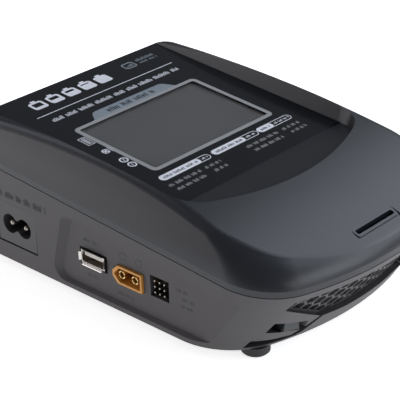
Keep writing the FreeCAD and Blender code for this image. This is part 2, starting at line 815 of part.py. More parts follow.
def make_top_cover():
    """The domed cover with its skirt, tilted display recess, front slot, bosses and snap hooks."""
    def dome(name, gap):
        inset = "(%s)" % gap
        return loft_body(name, [
            split_section("dims.skirt_height", inset),
            split_section("dims.brow_height", "dims.brow_inset + " + inset,
                          "dims.brow_front_inset + " + inset, rear_inset="-0.5 + " + inset),
            split_section("dims.shoulder_height", "dims.shoulder_inset + " + inset,
                          "dims.shoulder_front_inset + " + inset, rear_inset="-0.9 + " + inset),
            split_section("dims.crown_height", "dims.crown_inset + " + inset,
                          "dims.crown_front_inset + " + inset, rear_inset="-1.6 + " + inset),
        ], SPLIT_FRAME)

    skirt = loft_body("cover_skirt", [
        split_section("0.35", "0"), split_section("dims.skirt_height", "0"),
    ], SPLIT_FRAME, ruled=True)
    slab = crown_prism("crown_outside", 0.0)
    outer_dome = dome("cover_dome", "0")
    doc.recompute()
    crown = rounded_crown("cover_crown", outer_dome.Shape.common(slab.Shape).Solids[0])
    blank = joined("cover_blank", [crown, skirt])

    inner_skirt = loft_body("cover_inner_skirt", [
        split_section("-1", "dims.wall"), split_section("dims.skirt_height", "dims.wall"),
    ], SPLIT_FRAME, ruled=True)
    inside = joined("cover_inside", [dome("cover_inner_dome", "dims.wall"), inner_skirt])
    cavity = shared("cover_cavity", inside, crown_prism("crown_inside", size("wall"), -48.0))
    rabbet = loft_body("cover_rabbet", [
        split_section("-1", "1.2"), split_section("1.7", "1.2"),
    ], SPLIT_FRAME, ruled=True)
    window = block("display_window", "dims.touch_width + 0.4", "dims.touch_depth + 0.4", "12",
                   (0, 0, -8), SCREEN_FRAME)
    tools = [cavity, rabbet, display_recess(), window] + front_slot()
    shell = carved("cover_shell", blank, tools)

    additions = []
    for x, y in case_screw_spots():
        top = 49.0 if y < 0 else 60.0
        additions.append(rod("cover_boss", "dims.boss_radius", "%s - 14.2" % top, (x, y, 14.2)))
    for x, y in DISPLAY_POSTS:
        additions.append(rod("display_post", "2.3", "5", (x, y, -6.8), frame=SCREEN_FRAME))
    for side in SIDES:
        additions += snap_hook(side)
    whole = joined("cover_with_posts", [shell] + additions)
    bores = [rod("cover_bore", "dims.screw_radius", "12", (x, y, 14)) for x, y in case_screw_spots()]
    bores += [rod("display_bore", "0.9", "4.5", (x, y, -7), frame=SCREEN_FRAME) for x, y in DISPLAY_POSTS]
    return carved("top_cover", whole, bores)


# ---------------------------------------------------------------- display stack


def screen_plate(name, width, depth, thickness, top, middle=0.0):
    """A flat layer of the display stack: top is its upper face's height in the display frame."""
    foot = (0, middle, top - measure(thickness))
    return block(name, width, depth, thickness, foot, SCREEN_FRAME)


def make_display_parts():
    """Label film, touch panel, glass, backlight, driver board with its screws, and its ribbon."""
    rear, front = size("label_rear"), size("label_front")
    film = screen_plate("label_film", "dims.label_width", "dims.label_rear - dims.label_front",
                        "dims.label_thickness", size("label_thickness"), (rear + front) / 2)
    view = block("label_view", "dims.view_width", "dims.view_depth", "2", (0, 0, -1), SCREEN_FRAME)
    label = carved("label_overlay", film, [view])
    level = -size("touch_gap")
    touch = screen_plate("touch_panel", "dims.touch_width", "dims.touch_depth",
                         "dims.touch_thickness", level)
    level -= size("touch_thickness") + 0.1
    glass = screen_plate("lcd_glass", "dims.lcd_width", "dims.lcd_depth",
                         "dims.lcd_glass_thickness", level)
    level -= size("lcd_glass_thickness") + 0.1
    light = screen_plate("lcd_backlight", "dims.lcd_width", "dims.lcd_depth",
                         "dims.backlight_thickness", level)
    level -= size("backlight_thickness") + 0.1
    plate = screen_plate("display_board_blank", "dims.display_board_width",
                         "dims.display_board_depth", "dims.board_thickness", -6.8)
    holes = [rod("display_board_hole", "1.1", "4", (x, y, -9), frame=SCREEN_FRAME)
             for x, y in DISPLAY_POSTS]
    board = carved("display_board", plate, holes)
    screws = []
    for x, y in DISPLAY_POSTS:
        foot = SCREEN_FRAME.multVec(Vector(x, y, -8.4))
        screws.append(make_screw("display_screw", "0.9", "5.5", foot, SCREEN_FRAME.Rotation))
    ribbon = block("display_ribbon", "18", "0.3", "27.9", (14, 6, BOARD_TOP))
    return [label, touch, glass, light, board, group("display_screws", screws), ribbon]


# ---------------------------------------------------------------- boards and power stage

BOARD_TOP = size("main_board_z") + size("board_thickness")
POWER_TOP = size("power_board_z") + size("board_thickness")


def make_screw(name, radius, length, foot, turn=None, head_down=True):
    """A pan-head screw. Its shank points up when the head is down."""
    head = "dims.screw_head_radius"
    tall = "dims.screw_head_height"
    corners = [("0", "-(%s)" % tall), (head, "-(%s)" % tall), (head, "0"), (radius, "0"),
               (radius, length), ("0", length)]
    body = revolved_body(name, corners, foot)
    rotation = turn or Rotation()
    if not head_down:
        rotation = rotation.multiply(Rotation(ALONG_X, 180))
    body.Placement = Placement(Vector(*foot), rotation)
    return body


def board(name, left, right, front, rear, level, posts):
    """A printed circuit board with a hole over each of its posts."""
    width, depth = measure(right) - measure(left), measure(rear) - measure(front)
    middle = ((measure(right) + measure(left)) / 2, (measure(rear) + measure(front)) / 2, level)
    plate = block(name + "_blank", "(%s) - (%s)" % (right, left), "(%s) - (%s)" % (rear, front),
                  "dims.board_thickness", middle)
    holes = [rod(name + "_hole", "1.4", "4", (x, y, level - 1)) for x, y in posts]
    return carved(name, plate, holes)


def make_boards():
    """Main board, power board, their screws, and the insulating sheet under the mains side."""
    main = board("main_board", "dims.main_board_left", "dims.main_board_right",
                 "dims.main_board_front", "dims.main_board_rear", size("main_board_z"), BOARD_POSTS)
    power = board("power_board", "dims.power_board_left", "dims.power_board_right",
                  "dims.power_board_front", "dims.power_board_rear", size("power_board_z"),
                  POWER_POSTS)
    screws = [make_screw("board_screw", "dims.screw_radius", "7", (x, y, BOARD_TOP), head_down=False)
              for x, y in BOARD_POSTS]
    screws += [make_screw("power_screw", "dims.screw_radius", "6", (x, y, POWER_TOP), head_down=False)
               for x, y in POWER_POSTS]
    sheet = block("sheet_blank", "94", "30", "0.4", (4, 58, size("base_height") + size("wall")))
    cut_outs = [rod("sheet_hole", "3.4", "4", (x, y, 5)) for x, y in POWER_POSTS]
    return [main, power, group("board_screws", screws),
            carved("insulation_sheet", sheet, cut_outs)]


def ring(name, radius, section, centre):
    """A wound toroid lying flat."""
    item = doc.addObject("Part::Torus", name)
    bind(item, {"Radius1": radius, "Radius2": section})
    item.Placement = Placement(Vector(*centre), Rotation())
    return item


def make_power_parts():
    """The mains side: fuse, choke, rectifier, bulk capacitors and transformer."""
    top = POWER_TOP
    caps = [rod("bulk_capacitor", "8", "25", (x, 57, top)) for x in (-30, -12)]
    fuse = rod("mains_fuse", "2.6", "20", (-32, 43.5, top + 2.6), ALONG_X)
    choke = ring("emi_choke", "6", "3", (36.5, 63, top + 3))
    rectifier = block("bridge_rectifier", "15", "3.6", "13", (36, 49, top))
    x, y = 12, 58
    frame = block("core_frame", "28", "9", "24", (x, y, top))
    windows = [block("core_window", "6", "12", "16", (x + side * 7, y, top + 4)) for side in SIDES]
    core = carved("transformer_core", frame, windows)
    coil = block("coil_blank", "19.6", "19", "15.6", (x, y, top + 4.2))
    leg = block("coil_leg", "8", "9", "20", (x, y, top + 2))
    winding = carved("transformer_winding", coil, [leg])
    return [group("bulk_capacitors", caps), fuse, choke, rectifier, core, winding]


def make_heat_sink():
    """A finned aluminium block over the front of the main board."""
    body = doc.addObject("PartDesign::Body", "heat_sink")
    base = body_sketch(body, "sink_base_outline")
    half_width, half_length = size("sink_width") / 2, size("sink_length") / 2
    base.addGeometry(polygon([(-half_width, -half_length), (half_width, -half_length),
                              (half_width, half_length), (-half_width, half_length)]), False)
    doc.recompute()
    pad = body.newObject("PartDesign::Pad", "sink_base_pad")
    pad.Profile = base
    pad.setExpression("Length", "dims.sink_base")
    doc.recompute()
    fin = body_sketch(body, "sink_fin_outline")
    right = size("sink_fin") - half_width
    fin.addGeometry(polygon([(-half_width, -half_length), (right, -half_length),
                             (right, half_length), (-half_width, half_length)]), False)
    doc.recompute()
    first = body.newObject("PartDesign::Pad", "sink_fin_pad")
    first.Profile = fin
    first.setExpression("Length", "dims.sink_height")
    doc.recompute()
    row_of_fins = body.newObject("PartDesign::LinearPattern", "sink_fins")
    row_of_fins.Originals = [first]
    row_of_fins.Direction = (fin, ["H_Axis"])
    row_of_fins.setExpression("Length", "dims.sink_width - dims.sink_fin")
    row_of_fins.setExpression("Occurrences", "dims.sink_fins")
    body.Tip = row_of_fins
    body.Placement = Placement(Vector(0, -21, BOARD_TOP), Rotation())
    doc.recompute()
    return body


def make_charger_parts():
    """The charging side of the main board."""
    top = BOARD_TOP
    transistors = [block("power_transistor", "10", "4.5", "15", (x, -3.75, top + 1))
                   for x in (-18, -6, 6, 18)]
    inductors = [ring("inductor", "7", "3.4", (-35, y, top + 3.4)) for y in (23, -21)]
    caps = [rod("output_capacitor", "5", "16", (30, y, top)) for y in (-29, -17, -5, 7)]
    buzzer = rod("buzzer_can", "6", "9", (34, 26, top))
    port = rod("buzzer_port", "1", "3", (34, 26, top + 7))
    chip = block("controller_chip", "10", "10", "1.4", (-14, 18, top))
    return [make_heat_sink(), group("power_transistors", transistors),
            group("inductors", inductors), group("output_capacitors", caps),
            carved("buzzer", buzzer, [port]), chip]


# ---------------------------------------------------------------- fan


def make_fan():
    """The cooling fan: a frame with a spoked bearing, and a rotor that turns in it about Y."""
    y, z = size("fan_y"), size("fan_z")
    depth, edge = size("fan_depth"), size("fan_size") / 2
    rear = y + depth / 2
    blank = block("fan_blank", "dims.fan_size", "dims.fan_depth", "dims.fan_size", (0, y, z - edge))
    mouth = rod("fan_mouth", "dims.fan_bore_radius", "dims.fan_size + dims.fan_depth",
                (0, y - edge, z), ALONG_Y)
    holes = [rod("fan_hole", "1.6", "dims.fan_depth + 4", (sx * 14.4, rear - depth - 2, z + sz * 14.4),
                 ALONG_Y) for sx in SIDES for sz in SIDES]
    ring_part = carved("fan_ring", blank, [mouth] + holes)
    hub = rod("fan_hub_plate", "dims.fan_hub_radius", "1.8", (0, rear - 1.8, z), ALONG_Y)
    spokes = []
    for turn in (45, 135, 225, 315):
        spoke = block("fan_spoke", "11.5", "1.8", "2", (12, 0, -1))
        spin = Placement(Vector(0, rear - 0.9, z), Rotation(ALONG_Y, turn))
        spoke.Placement = spin.multiply(spoke.Placement)
        spokes.append(spoke)
    tube = rod("fan_bearing_tube", "2.4", "6.5", (0, rear - 7.5, z), ALONG_Y)
    solid = joined("fan_frame_solid", [ring_part, hub, tube] + spokes)
    bore = rod("fan_bearing_bore", "dims.fan_shaft_radius + dims.fan_shaft_gap", "dims.fan_depth + 4",
               (0, rear - depth - 2, z), ALONG_Y)
    frame = carved("fan_frame", solid, [bore])

    front = rear - depth + 0.5
    cup = rod("rotor_cup", "dims.fan_hub_radius - 0.2", "6.5", (0, front, z), ALONG_Y)
    hollow = rod("rotor_hollow", "6.1", "6.5", (0, front + 1.2, z), ALONG_Y)
    shaft = rod("rotor_shaft", "dims.fan_shaft_radius", "8.4", (0, front + 0.6, z), ALONG_Y)
    blades = []
    for index in range(int(size("fan_blades"))):
        blade = block("rotor_blade", "dims.fan_blade_radius - 6.8", "7.6", "0.9", (11.4, 0, -0.45))
        lean = Placement(Vector(), Rotation(ALONG_X, 38))
        spin = Placement(Vector(0, front + 3.3, z), Rotation(ALONG_Y, index * 360 / size("fan_blades")))
        blade.Placement = spin.multiply(lean).multiply(blade.Placement)
        blades.append(blade)
    rotor = joined("fan_rotor", [carved("rotor_shell", cup, [hollow]), shaft] + blades)
    return [frame, rotor]


# ---------------------------------------------------------------- connectors


def make_inlet():
    """The two-pole mains inlet: a figure-eight socket in a square insert, and its two pins."""
    y, z, face = size("inlet_y"), size("inlet_z"), 0.3 - HALF_WIDTH
    depth, deep = size("inlet_depth"), size("inlet_cavity_depth")
    blank = block("inlet_blank", "dims.inlet_depth", "dims.inlet_width", "dims.inlet_height",
                  (face + depth / 2, y, z - size("inlet_height") / 2))
    lobes = [rod("inlet_lobe", "dims.inlet_lobe_radius", "dims.inlet_cavity_depth + 1",
                 (face - 1, y + side * size("inlet_pin_pitch") / 2, z), ALONG_X) for side in SIDES]
    waist = block("inlet_waist", "dims.inlet_cavity_depth + 1", "dims.inlet_pin_pitch", "5.2",
                  (face + (deep - 1) / 2, y, z - 2.6))
    start = face + size("inlet_pin_setback")
    spots = [(start, y + side * size("inlet_pin_pitch") / 2, z) for side in SIDES]
    bores = [rod("inlet_pin_bore", "dims.inlet_pin_radius", "30", spot, ALONG_X) for spot in spots]
    shell = carved("ac_inlet_body", blank, lobes + [waist] + bores)
    corners = [("0", "0")]
    for turn in (20, 40, 65, 90):
        corners.append(("dims.inlet_pin_radius * sin(%d)" % turn,
                        "dims.inlet_pin_radius * (1 - cos(%d))" % turn))
    corners += [("dims.inlet_pin_radius", "dims.inlet_pin_length"), ("0", "dims.inlet_pin_length")]
    pins = [revolved_body("inlet_pin", corners, spot, ALONG_X) for spot in spots]
    return [shell, group("ac_inlet_pins", pins)]


def make_usb():
    """The USB socket: a folded metal shell round an ivory tongue."""
    y, z, face = size("usb_y"), size("port_height"), -RECESS_FLOOR_X - 0.5
    depth = size("usb_depth")
    low = z - size("usb_height") / 2
    blank = block("usb_blank", "dims.usb_depth", "dims.usb_width", "dims.usb_height",
                  (face + depth / 2, y, low))
    hollow = block("usb_hollow", "dims.usb_depth", "dims.usb_width - 2 * dims.usb_wall",
                   "dims.usb_height - 2 * dims.usb_wall", (face + depth / 2 - 1, y, low + size("usb_wall")))
    shell = carved("usb_shell", blank, [hollow])
    tongue = block("usb_tongue_plate", "dims.usb_depth - 2 * dims.usb_tongue_setback",
                   "dims.usb_tongue_width", "dims.usb_tongue_thickness", (face + depth / 2, y, z + 0.1))
    back = block("usb_tongue_back", "3", "12.2", "4.8", (face + depth - 2.5, y, z - 2.4))
    return [shell, joined("usb_tongue", [tongue, back])]


def plug_outline(shrink):
    """The keyed outline of the DC plug, chamfered at its rear end, looking at the left wall."""
    half, tall = size("dc_width") / 2 - shrink, size("dc_height") / 2 - shrink
    corner = size("dc_chamfer")
    points = [(half, -tall), (half, tall), (corner - half, tall), (-half, tall - corner),
              (-half, corner - tall), (corner - half, -tall)]
    return polygon([(along - size("dc_y"), size("dc_z") + up) for along, up in points])


def make_dc_plug():
    """The yellow two-pin DC power plug with its keyed shroud and round contacts."""
    depth, z = size("dc_depth"), size("dc_z")
    face = -RECESS_FLOOR_X - size("dc_protrusion")
    outer = Placement(Vector(face + depth, 0, 0), LEFT_VIEW.Rotation)
    inner = Placement(Vector(face + depth - 2.5, 0, 0), LEFT_VIEW.Rotation)
    blank = prism("dc_plug_blank", plug_outline(0.0), outer, depth)
    hollow = prism("dc_plug_hollow", plug_outline(size("dc_wall")), inner, 12.0)
    spots = [size("dc_y") + side * size("dc_pin_pitch") / 2 for side in SIDES]
    bores = [rod("dc_pin_bore", "dims.dc_pin_radius", "20", (face + 4, y, z), ALONG_X) for y in spots]
    housing = carved("dc_plug_housing", blank, [hollow] + bores)
    pins = []
    for y in spots:
        pin = rod("dc_pin_blank", "dims.dc_pin_radius", "14", (face + 0.9, y, z), ALONG_X)
        bore = rod("dc_pin_mouth", "1.1", "5", (face + 0.5, y, z), ALONG_X)
        pins.append(carved("dc_pin", pin, [bore]))
    return [housing, group("dc_plug_pins", pins)]


def make_header():
    """The three-by-three pin header behind its square opening."""
    y, z, pitch = size("header_y"), size("header_z"), size("header_pitch")
    wide = 3 * pitch
    base = block("header_base", "2.5", "3 * dims.header_pitch", "3 * dims.header_pitch",
                 (-54.6, y, z - wide / 2))
    pins = []
    for along in (-1, 0, 1):
        for up in (-1, 0, 1):
            pins.append(block("header_pin", "9.4", "0.64", "0.64",
                              (-56.4, y + along * pitch, z + up * pitch - 0.32)))
    holes = [block("header_pin_hole", "20", "0.64", "0.64",
                   (-56, y + along * pitch, z + up * pitch - 0.32))
             for along in (-1, 0, 1) for up in (-1, 0, 1)]
    return [carved("header_housing", base, holes), group("header_pins", pins)]


def make_outputs():
    """The pair of four-millimetre charging sockets, each a coloured shell round a metal sleeve."""
    shells, sleeves = [], []
    z, start = size("output_z"), RECESS_FLOOR_X
    for index, colour in enumerate(("red", "black")):
        y = size("output_y") - index * size("output_pitch")
        corners = [
            ("2.9", "2"), ("dims.output_flange_radius", "2"), ("dims.output_flange_radius", "0"),
            ("dims.output_body_radius", "0"), ("dims.output_body_radius", "-14"), ("2.9", "-14"),
        ]
        shells.append(revolved_body("output_shell_" + colour, corners, (start, y, z), ALONG_X))
        inner = "dims.output_bore_radius"
        corners = [(inner, "1.8"), ("2.9", "1.8"), ("2.9", "-16.5"), ("0", "-16.5"), ("0", "-14.2"),
                   (inner, "-14.2")]
        sleeves.append(revolved_body("output_sleeve", corners, (start, y, z), ALONG_X))
    return shells + [group("output_sleeves", sleeves)]


def make_balance():
    """The battery balance sockets in two rows, their pins, and the upright board behind them."""
    face = RECESS_FLOOR_X + 0.2
    sockets, pins, board_holes = [], [], []
    for count, y, low, width in balance_layout():
        blank = block("socket_blank", "dims.balance_depth", "%s" % width, "dims.balance_height",
                      (face - size("balance_depth") / 2, y, low))
        hollow = block("socket_hollow", "8", "%s - 1.6" % width, "dims.balance_height - 1.6",
                       (face - 3.5, y, low + 0.8))
        holes = []
        for index in range(count):
            spot = y + (index - (count - 1) / 2) * size("balance_pitch")
            foot = (face - 7.5, spot, low + size("balance_height") / 2 - 0.32)
            pins.append(block("balance_pin", "10", "0.64", "0.64", foot))
            holes.append(block("balance_pin_hole", "20", "0.64", "0.64", foot))
        sockets.append(carved("balance_socket_%dpin" % count, blank, [hollow] + holes))
        board_holes += holes
    plate = block("balance_board_blank", "dims.board_thickness", "42", "18",
                  (size("main_board_right") + 0.85, 18.2, 14.4))
    upright = carved("balance_board", plate, board_holes)
    return sockets + [group("balance_pins", pins), upright]


# ---------------------------------------------------------------- feet and case screws


def make_hardware():
    """Four rubber feet and the four screws that hold the two shells together."""
    feet, screws = [], []
    for x, y in foot_spots():
        corners = [("0", "0"), ("dims.foot_radius - 0.8", "0"), ("dims.foot_radius", "0.8"),
                   ("dims.foot_radius", "dims.base_height"), ("2.5", "dims.base_height"),
                   ("2.5", "dims.base_height + 1.9"), ("0", "dims.base_height + 1.9")]
        feet.append(revolved_body("rubber_foot", corners, (x, y, 0)))
    for x, y in case_screw_spots():
        screws.append(make_screw("case_screw", "dims.screw_radius", "16", (x, y, 7.5)))
    return [group("rubber_feet", feet), group("case_screws", screws)]


# ---------------------------------------------------------------- building and writing


def main():
    nodes = [make_bottom_case(), make_top_cover()]
    nodes += make_display_parts() + make_boards() + make_power_parts() + make_charger_parts()
    nodes += make_fan() + make_inlet() + make_usb() + make_dc_plug() + make_header()
    nodes += make_outputs() + make_balance() + make_hardware()
    doc.recompute()
    for item in doc.Objects:
        if "Invalid" in item.State or "Error" in item.State:
            raise RuntimeError("%s did not build: %s" % (item.Name, item.State))
    os.makedirs("parts", exist_ok=True)
    for node in nodes:
        if node.Shape.isNull() or not node.Shape.isValid():
            raise RuntimeError("%s has no valid shape" % node.Label)
        node.Shape.exportStep(os.path.join("parts", node.Label + ".step"))
        print("%-22s solids %2d  volume %9.1f" % (node.Label, len(node.Shape.Solids), node.Shape.Volume))


main()
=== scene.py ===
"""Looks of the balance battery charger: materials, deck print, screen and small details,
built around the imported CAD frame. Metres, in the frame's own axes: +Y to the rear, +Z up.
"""
import json
import math

import bmesh
import bpy
from mathutils import Matrix, Vector


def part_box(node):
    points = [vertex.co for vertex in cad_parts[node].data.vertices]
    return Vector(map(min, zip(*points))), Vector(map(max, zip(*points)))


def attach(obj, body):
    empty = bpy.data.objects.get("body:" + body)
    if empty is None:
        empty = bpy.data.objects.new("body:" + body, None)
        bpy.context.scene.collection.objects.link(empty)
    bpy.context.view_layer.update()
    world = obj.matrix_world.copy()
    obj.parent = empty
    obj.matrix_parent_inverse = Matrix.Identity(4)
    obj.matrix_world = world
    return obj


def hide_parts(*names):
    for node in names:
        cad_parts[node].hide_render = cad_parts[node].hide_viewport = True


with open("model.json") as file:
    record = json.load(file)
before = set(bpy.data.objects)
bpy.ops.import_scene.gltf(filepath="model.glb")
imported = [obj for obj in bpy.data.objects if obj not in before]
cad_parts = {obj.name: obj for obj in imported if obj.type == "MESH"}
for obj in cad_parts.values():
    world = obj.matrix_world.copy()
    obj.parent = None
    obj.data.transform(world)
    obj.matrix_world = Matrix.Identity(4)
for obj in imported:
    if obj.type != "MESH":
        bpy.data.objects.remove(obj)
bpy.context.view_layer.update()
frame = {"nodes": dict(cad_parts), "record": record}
MM = 0.001


# ---------------------------------------------------------------- camera, floor and light

def make_camera():
    """A long lens looking at the front left corner from above, tipped a little."""
    place = Vector((-0.3894, -0.3544, 0.2953))
    aim = Vector((-0.03256, -0.01763, 0.04691))
    roll = math.radians(-1.91)
    camera = bpy.data.objects.new("camera", bpy.data.cameras.new("camera"))
    camera.data.lens = 126.83
    camera.data.sensor_width = 36.0
    camera.data.clip_start = 0.01
    turn = (aim - place).to_track_quat("-Z", "Y").to_matrix().to_4x4()
    camera.matrix_world = Matrix.Translation(place) @ turn @ Matrix.Rotation(roll, 4, "Z")
    bpy.context.scene.collection.objects.link(camera)
    bpy.context.scene.camera = camera


def area_light(name, place, aim, size, power, color):
    """A rectangular light at a place, turned to face its aim."""
    lamp = bpy.data.lights.new(name, "AREA")
    lamp.shape = "RECTANGLE"
    lamp.size, lamp.size_y = size
    lamp.energy = power
    lamp.color = color
    item = bpy.data.objects.new(name, lamp)
    turn = (Vector(aim) - Vector(place)).to_track_quat("-Z", "Y").to_matrix().to_4x4()
    item.matrix_world = Matrix.Translation(place) @ turn
    bpy.context.scene.collection.objects.link(item)


def make_floor():
    """A pale floor that gives off a little light of its own, so that it stays even."""
    reach = 4.0
    outline = [(-reach, -reach, 0), (reach, -reach, 0), (reach, reach, 0), (-reach, reach, 0)]
    floor_mesh = bpy.data.meshes.new("floor")
    floor_mesh.from_pydata(outline, [], [(0, 1, 2, 3)])
    floor = bpy.data.objects.new("floor", floor_mesh)
    bpy.context.scene.collection.objects.link(floor)
    paint = bpy.data.materials.new("floor_paint")
    paint.use_nodes = True
    shader = paint.node_tree.nodes["Principled BSDF"]
    shader.inputs["Base Color"].default_value = (0.90, 0.90, 0.90, 1)
    shader.inputs["Roughness"].default_value = 0.7
    shader.inputs["Emission Color"].default_value = (1, 1, 1, 1)
    shader.inputs["Emission Strength"].default_value = 0.75
    floor.data.materials.append(paint)


def make_lights():
    """A pale sky and five soft lights, the strongest of them high on the right."""
    world = bpy.data.worlds.new("studio")
    world.use_nodes = True
    sky = world.node_tree.nodes["Background"]
    sky.inputs["Color"].default_value = (0.95, 0.97, 1.0, 1)
    sky.inputs["Strength"].default_value = 0.15
    bpy.context.scene.world = world
    bpy.context.scene.view_settings.view_transform = "Standard"

    middle = (0, 0, 0.03)
    area_light("left_rear", place=(-0.62, 0.85, 0.32), aim=(0, 0.03, 0.03), size=(0.9, 0.6), power=3.2,
               color=(1.0, 0.96, 0.99))
    area_light("rear_high", place=(-0.15, 0.95, 1.0), aim=middle, size=(0.6, 0.6), power=1.6,
               color=(0.85, 0.90, 1.0))
    area_light("right_high", place=(1.25, -0.3, 1.2), aim=middle, size=(1.5, 1.3), power=15.0,
               color=(0.84, 0.90, 1.0))
    area_light("front_right", place=(1.0, -1.15, 0.85), aim=middle, size=(1.5, 0.9), power=7.5,
               color=(0.88, 0.92, 1.0))
    area_light("front_middle", place=(0.30, -1.35, 0.58), aim=middle, size=(1.3, 0.75), power=5.5,
               color=(0.92, 0.96, 1.0))


make_camera()
make_floor()
make_lights()


# ---------------------------------------------------------------- materials

def node_material(name, color, roughness, metallic=0.0):
    """A principled material with one colour; its caller adds the details."""
    paint = bpy.data.materials.new(name)
    paint.use_nodes = True
    shader = paint.node_tree.nodes["Principled BSDF"]
    shader.inputs["Base Color"].default_value = (*color, 1)
    shader.inputs["Roughness"].default_value = roughness
    shader.inputs["Metallic"].default_value = metallic
    return paint


def add_grain(paint, scale, height):
    """A fine moulded texture: noise in object space, as bump."""
    tree = paint.node_tree
    place = tree.nodes.new("ShaderNodeTexCoord")
    noise = tree.nodes.new("ShaderNodeTexNoise")
    noise.inputs["Scale"].default_value = scale
    noise.inputs["Detail"].default_value = 3.0
    bump = tree.nodes.new("ShaderNodeBump")
    bump.inputs["Strength"].default_value = height
    bump.inputs["Distance"].default_value = 0.1 * MM
    tree.links.new(place.outputs["Object"], noise.inputs["Vector"])
    tree.links.new(noise.outputs["Fac"], bump.inputs["Height"])
    tree.links.new(bump.outputs["Normal"], tree.nodes["Principled BSDF"].inputs["Normal"])


def add_tint(paint, color, other, scale, roughness):
    """A slow drift of the colour and of the roughness, each between two values."""
    tree = paint.node_tree
    shader = tree.nodes["Principled BSDF"]
    place = tree.nodes.new("ShaderNodeTexCoord")
    noise = tree.nodes.new("ShaderNodeTexNoise")
    noise.inputs["Scale"].default_value = scale
    noise.inputs["Detail"].default_value = 4.0
    ramp = tree.nodes.new("ShaderNodeValToRGB")
    ramp.color_ramp.elements[0].position = 0.35
    ramp.color_ramp.elements[1].position = 0.65
    ramp.color_ramp.elements[0].color = (*color, 1)
    ramp.color_ramp.elements[1].color = (*other, 1)
    tree.links.new(place.outputs["Object"], noise.inputs["Vector"])
    tree.links.new(noise.outputs["Fac"], ramp.inputs["Fac"])
    tree.links.new(ramp.outputs["Color"], shader.inputs["Base Color"])
    spread = tree.nodes.new("ShaderNodeMapRange")
    spread.inputs["To Min"].default_value, spread.inputs["To Max"].default_value = roughness
    tree.links.new(noise.outputs["Fac"], spread.inputs["Value"])
    tree.links.new(spread.outputs["Result"], shader.inputs["Roughness"])


# noise scales of the slow drift, and how high the metals' grain is
PLASTIC_DRIFT, METAL_DRIFT = 60.0, 90.0
METAL_GRAIN_HEIGHT = 0.08


def plastic(name, color, other, roughness, grain=None, grain_height=0.1):
    """A moulded or printed surface; a grain is given by its scale and its height."""
    paint = node_material(name, color, sum(roughness) / 2)
    add_tint(paint, color, other, PLASTIC_DRIFT, roughness)
    if grain:
        add_grain(paint, grain, grain_height)
    return paint


def metal(name, color, other, roughness, grain=None):
    """A bare metal surface, with a fine grain when a scale is given."""
    paint = node_material(name, color, sum(roughness) / 2, metallic=1.0)
    add_tint(paint, color, other, METAL_DRIFT, roughness)
    if grain:
        add_grain(paint, grain, METAL_GRAIN_HEIGHT)
    return paint


def glass(name, color, roughness):
    """A clear pane or tube."""
    paint = node_material(name, color, roughness)
    shader = paint.node_tree.nodes["Principled BSDF"]
    shader.inputs["Transmission Weight"].default_value = 1.0
    shader.inputs["IOR"].default_value = 1.45
    return paint


# colour, the colour it drifts to, roughness from and to, then the grain's scale and height
PLASTICS = {
    "case_plastic": ((0.052, 0.047, 0.050), (0.059, 0.054, 0.057), (0.50, 0.62), 2600, 0.35),
    "cover_plastic": ((0.014, 0.016, 0.021), (0.016, 0.018, 0.023), (0.31, 0.36), 3500, 0.05),
    "label_film": ((0.008, 0.009, 0.012), (0.009, 0.010, 0.013), (0.15, 0.19), 5000, 0.02),
    "lcd_cell": ((0.285, 0.280, 0.280), (0.302, 0.297, 0.297), (0.34, 0.40)),
    "white_plastic": ((0.72, 0.70, 0.65), (0.76, 0.74, 0.69), (0.30, 0.40), 1800, 0.08),
    "ivory_plastic": ((0.58, 0.54, 0.49), (0.62, 0.58, 0.53), (0.35, 0.45), 1800, 0.08),
    "circuit_board": ((0.012, 0.070, 0.032), (0.016, 0.085, 0.040), (0.25, 0.40), 900, 0.10),
    "ribbon_film": ((0.42, 0.20, 0.04), (0.46, 0.23, 0.05), (0.25, 0.35)),
    "insulation_film": ((0.55, 0.53, 0.45), (0.60, 0.58, 0.50), (0.30, 0.45)),
    "capacitor_sleeve": ((0.012, 0.016, 0.045), (0.015, 0.020, 0.055), (0.22, 0.30)),
    "black_plastic": ((0.014, 0.014, 0.015), (0.017, 0.017, 0.018), (0.30, 0.42), 2200, 0.15),
    "ferrite": ((0.030, 0.029, 0.028), (0.042, 0.040, 0.038), (0.50, 0.70), 1200, 0.3),
    "winding_tape": ((0.66, 0.42, 0.02), (0.70, 0.46, 0.03), (0.20, 0.32)),
    "fan_plastic": ((0.014, 0.014, 0.015), (0.018, 0.018, 0.019), (0.40, 0.50), 2000, 0.15),
    "inlet_plastic": ((0.050, 0.046, 0.050), (0.056, 0.052, 0.056), (0.45, 0.55), 2400, 0.25),
    "amber_plastic": ((0.56, 0.25, 0.045), (0.62, 0.29, 0.06), (0.28, 0.40), 1600, 0.10),
    "red_plastic": ((0.42, 0.012, 0.010), (0.46, 0.016, 0.013), (0.28, 0.38), 1800, 0.10),
    "foot_rubber": ((0.020, 0.020, 0.021), (0.026, 0.026, 0.027), (0.60, 0.75), 1500, 0.4),
    "print_ink": ((0.80, 0.81, 0.88), (0.84, 0.85, 0.92), (0.40, 0.50), 6000, 0.05),
    "print_tint": ((0.230, 0.275, 0.315), (0.250, 0.295, 0.335), (0.40, 0.50), 6000, 0.05),
    "caption_tone": ((0.030, 0.029, 0.031), (0.036, 0.035, 0.037), (0.50, 0.60), 2600, 0.2),
    "border_ink": ((0.330, 0.335, 0.340), (0.355, 0.360, 0.365), (0.40, 0.50), 6000, 0.05),
}
